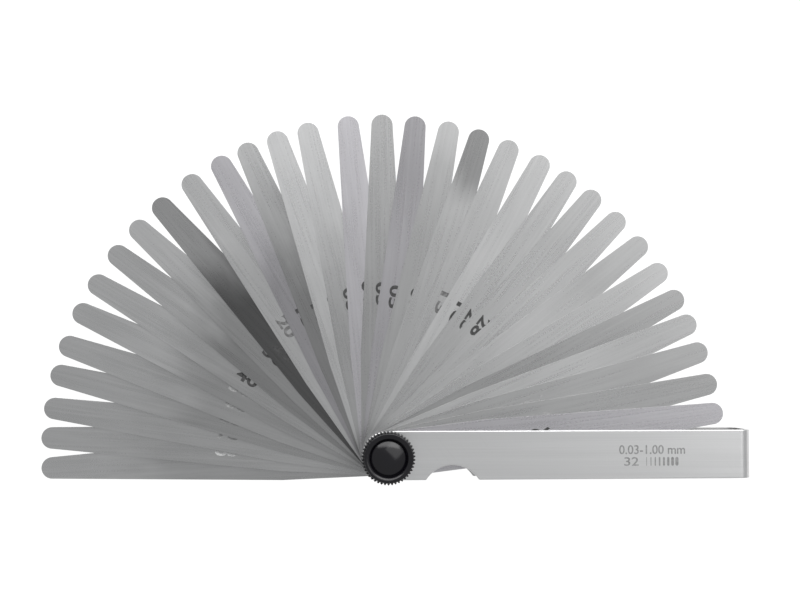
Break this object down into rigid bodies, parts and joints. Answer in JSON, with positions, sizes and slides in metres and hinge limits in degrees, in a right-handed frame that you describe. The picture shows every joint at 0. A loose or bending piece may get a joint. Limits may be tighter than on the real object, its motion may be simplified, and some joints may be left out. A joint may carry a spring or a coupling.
{
  "type": "feeler gauge",
  "caption": "Feeler gauge: tapered steel blades fanned out on a pivot screw in a folded steel case, clamped by a black knurled thumb nut; measures small gaps.",
  "frame": {"origin": "on the pivot axis, in the outer face of the case's rear plate, on which the gauge lies", "axes": "+Z along the pivot axis from the rear plate to the thumb nut; +X along the case from the pivot to its folded end; +Y towards the side to which the blades are fanned out"},
  "size_m": [0.1945, 0.1011, 0.0271],
  "materials": {
    "case_steel": "satin, brushed along the case",
    "blade_steel": "ground satin spring steel",
    "screw_steel": "turned bright steel",
    "nut_black": "glossy black moulding"
  },
  "bodies": {
    "case": {"case": "case_steel", "pivot_screw": "screw_steel"},
    "blade_100": {"blade_100": "blade_steel"},
    "blade_085": {"blade_085": "blade_steel"},
    "blade_075": {"blade_075": "blade_steel"},
    "blade_065": {"blade_065": "blade_steel"},
    "blade_060": {"blade_060": "blade_steel"},
    "blade_050": {"blade_050": "blade_steel"},
    "blade_040": {"blade_040": "blade_steel"},
    "blade_035": {"blade_035": "blade_steel"},
    "blade_030": {"blade_030": "blade_steel"},
    "blade_025": {"blade_025": "blade_steel"},
    "blade_020": {"blade_020": "blade_steel"},
    "blade_015": {"blade_015": "blade_steel"},
    "blade_010": {"blade_010": "blade_steel"},
    "blade_008": {"blade_008": "blade_steel"},
    "blade_006": {"blade_006": "blade_steel"},
    "blade_004": {"blade_004": "blade_steel"},
    "blade_003": {"blade_003": "blade_steel"},
    "blade_005": {"blade_005": "blade_steel"},
    "blade_007": {"blade_007": "blade_steel"},
    "blade_009": {"blade_009": "blade_steel"},
    "blade_013": {"blade_013": "blade_steel"},
    "blade_018": {"blade_018": "blade_steel"},
    "blade_023": {"blade_023": "blade_steel"},
    "blade_028": {"blade_028": "blade_steel"},
    "blade_033": {"blade_033": "blade_steel"},
    "blade_038": {"blade_038": "blade_steel"},
    "blade_045": {"blade_045": "blade_steel"},
    "blade_055": {"blade_055": "blade_steel"},
    "blade_063": {"blade_063": "blade_steel"},
    "blade_070": {"blade_070": "blade_steel"},
    "blade_080": {"blade_080": "blade_steel"},
    "blade_090": {"blade_090": "blade_steel"},
    "nut_washer": {"nut_washer": "screw_steel"},
    "thumb_nut": {"thumb_nut": "nut_black"}
  },
  "joints": [
    {"name": "washer_lift", "type": "slide", "parent": "case", "child": "nut_washer", "axis": [0, 0, 1], "range_m": [0, 0.0014]},
    {"name": "nut_turn", "type": "hinge", "parent": "nut_washer", "child": "thumb_nut", "pos_m": [0, 0, 0], "axis": [0, 0, 1], "range_deg": [0, 720]},
    {"name": "blade_100_swing", "type": "hinge", "parent": "case", "child": "blade_100", "pos_m": [0, 0, 0], "axis": [0, 0, 1], "range_deg": [-182.3, 177.7]},
    {"name": "blade_085_swing", "type": "hinge", "parent": "case", "child": "blade_085", "pos_m": [0, 0, 0], "axis": [0, 0, 1], "range_deg": [-177.1, 182.9]},
    {"name": "blade_075_swing", "type": "hinge", "parent": "case", "child": "blade_075", "pos_m": [0, 0, 0], "axis": [0, 0, 1], "range_deg": [-172, 188]},
    {"name": "blade_065_swing", "type": "hinge", "parent": "case", "child": "blade_065", "pos_m": [0, 0, 0], "axis": [0, 0, 1], "range_deg": [-166.2, 193.8]},
    {"name": "blade_060_swing", "type": "hinge", "parent": "case", "child": "blade_060", "pos_m": [0, 0, 0], "axis": [0, 0, 1], "range_deg": [-161, 199]},
    {"name": "blade_050_swing", "type": "hinge", "parent": "case", "child": "blade_050", "pos_m": [0, 0, 0], "axis": [0, 0, 1], "range_deg": [-154.9, 205.1]},
    {"name": "blade_040_swing", "type": "hinge", "parent": "case", "child": "blade_040", "pos_m": [0, 0, 0], "axis": [0, 0, 1], "range_deg": [-149.3, 210.7]},
    {"name": "blade_035_swing", "type": "hinge", "parent": "case", "child": "blade_035", "pos_m": [0, 0, 0], "axis": [0, 0, 1], "range_deg": [-143.2, 216.8]},
    {"name": "blade_030_swing", "type": "hinge", "parent": "case", "child": "blade_030", "pos_m": [0, 0, 0], "axis": [0, 0, 1], "range_deg": [-137.5, 222.5]},
    {"name": "blade_025_swing", "type": "hinge", "parent": "case", "child": "blade_025", "pos_m": [0, 0, 0], "axis": [0, 0, 1], "range_deg": [-132, 228]},
    {"name": "blade_020_swing", "type": "hinge", "parent": "case", "child": "blade_020", "pos_m": [0, 0, 0], "axis": [0, 0, 1], "range_deg": [-125.5, 234.5]},
    {"name": "blade_015_swing", "type": "hinge", "parent": "case", "child": "blade_015", "pos_m": [0, 0, 0], "axis": [0, 0, 1], "range_deg": [-119.5, 240.5]},
    {"name": "blade_010_swing", "type": "hinge", "parent": "case", "child": "blade_010", "pos_m": [0, 0, 0], "axis": [0, 0, 1], "range_deg": [-114.4, 245.6]},
    {"name": "blade_008_swing", "type": "hinge", "parent": "case", "child": "blade_008", "pos_m": [0, 0, 0], "axis": [0, 0, 1], "range_deg": [-108.9, 251.1]},
    {"name": "blade_006_swing", "type": "hinge", "parent": "case", "child": "blade_006", "pos_m": [0, 0, 0], "axis": [0, 0, 1], "range_deg": [-103.4, 256.6]},
    {"name": "blade_004_swing", "type": "hinge", "parent": "case", "child": "blade_004", "pos_m": [0, 0, 0], "axis": [0, 0, 1], "range_deg": [-96.3, 263.7]},
    {"name": "blade_003_swing", "type": "hinge", "parent": "case", "child": "blade_003", "pos_m": [0, 0, 0], "axis": [0, 0, 1], "range_deg": [-90.4, 269.6]},
    {"name": "blade_005_swing", "type": "hinge", "parent": "case", "child": "blade_005", "pos_m": [0, 0, 0], "axis": [0, 0, 1], "range_deg": [-84.6, 275.4]},
    {"name": "blade_007_swing", "type": "hinge", "parent": "case", "child": "blade_007", "pos_m": [0, 0, 0], "axis": [0, 0, 1], "range_deg": [-78.7, 281.3]},
    {"name": "blade_009_swing", "type": "hinge", "parent": "case", "child": "blade_009", "pos_m": [0, 0, 0], "axis": [0, 0, 1], "range_deg": [-73.2, 286.8]},
    {"name": "blade_013_swing", "type": "hinge", "parent": "case", "child": "blade_013", "pos_m": [0, 0, 0], "axis": [0, 0, 1], "range_deg": [-67.7, 292.3]},
    {"name": "blade_018_swing", "type": "hinge", "parent": "case", "child": "blade_018", "pos_m": [0, 0, 0], "axis": [0, 0, 1], "range_deg": [-61.6, 298.4]},
    {"name": "blade_023_swing", "type": "hinge", "parent": "case", "child": "blade_023", "pos_m": [0, 0, 0], "axis": [0, 0, 1], "range_deg": [-56.1, 303.9]},
    {"name": "blade_028_swing", "type": "hinge", "parent": "case", "child": "blade_028", "pos_m": [0, 0, 0], "axis": [0, 0, 1], "range_deg": [-50.7, 309.3]},
    {"name": "blade_033_swing", "type": "hinge", "parent": "case", "child": "blade_033", "pos_m": [0, 0, 0], "axis": [0, 0, 1], "range_deg": [-44.9, 315.1]},
    {"name": "blade_038_swing", "type": "hinge", "parent": "case", "child": "blade_038", "pos_m": [0, 0, 0], "axis": [0, 0, 1], "range_deg": [-39.1, 320.9]},
    {"name": "blade_045_swing", "type": "hinge", "parent": "case", "child": "blade_045", "pos_m": [0, 0, 0], "axis": [0, 0, 1], "range_deg": [-33.3, 326.7]},
    {"name": "blade_055_swing", "type": "hinge", "parent": "case", "child": "blade_055", "pos_m": [0, 0, 0], "axis": [0, 0, 1], "range_deg": [-27.8, 332.2]},
    {"name": "blade_063_swing", "type": "hinge", "parent": "case", "child": "blade_063", "pos_m": [0, 0, 0], "axis": [0, 0, 1], "range_deg": [-23, 337]},
    {"name": "blade_070_swing", "type": "hinge", "parent": "case", "child": "blade_070", "pos_m": [0, 0, 0], "axis": [0, 0, 1], "range_deg": [-17.8, 342.2]},
    {"name": "blade_080_swing", "type": "hinge", "parent": "case", "child": "blade_080", "pos_m": [0, 0, 0], "axis": [0, 0, 1], "range_deg": [-12.1, 347.9]},
    {"name": "blade_090_swing", "type": "hinge", "parent": "case", "child": "blade_090", "pos_m": [0, 0, 0], "axis": [0, 0, 1], "range_deg": [-7, 353]}
  ],
  "couplings": [
    {"joint": "nut_turn", "follows": "washer_lift", "rad_per_m": 8976}
  ]
}
